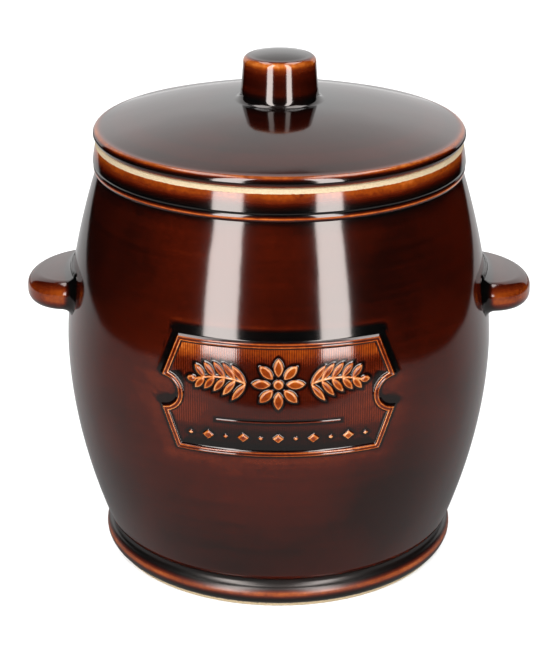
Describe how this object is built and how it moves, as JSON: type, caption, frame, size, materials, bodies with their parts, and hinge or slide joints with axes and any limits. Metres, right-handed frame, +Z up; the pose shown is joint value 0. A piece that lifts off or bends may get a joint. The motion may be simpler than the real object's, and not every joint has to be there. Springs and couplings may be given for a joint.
{
  "type": "water seal pickle jar",
  "caption": "Barrel-shaped stoneware crock with side lugs, a relief plate, a hidden water gutter, a knobbed lid and half-moon pressing stones inside.",
  "frame": {"origin": "on the pot's axis, at the level of the foot ring that it stands on", "axes": "+Z up along the pot's axis, the relief plate faces -Y, the lugs point along +X and -X"},
  "size_m": [0.2626, 0.2236, 0.266],
  "materials": {
    "brown_glaze": "glossy dark brown glaze over stoneware, breaking to amber where it runs thin over edges",
    "bare_stoneware": "matt unglazed cream stoneware"
  },
  "bodies": {
    "crock": {"jar_body": "brown_glaze", "label_plate": "brown_glaze", "handle_left": "brown_glaze", "handle_right": "brown_glaze"},
    "lid": {"lid": "brown_glaze", "lid_knob": "brown_glaze"},
    "stone_left": {"weight_left": "bare_stoneware"},
    "stone_right": {"weight_right": "bare_stoneware"}
  },
  "joints": [
    {"name": "lid_lift", "type": "slide", "parent": "crock", "child": "lid", "axis": [0, 0, 1], "range_m": [0, 0.12]},
    {"name": "stone_left_lift", "type": "slide", "parent": "crock", "child": "stone_left", "axis": [0, 0, 1], "range_m": [0, 0.14]},
    {"name": "stone_right_lift", "type": "slide", "parent": "crock", "child": "stone_right", "axis": [0, 0, 1], "range_m": [0, 0.14]}
  ]
}
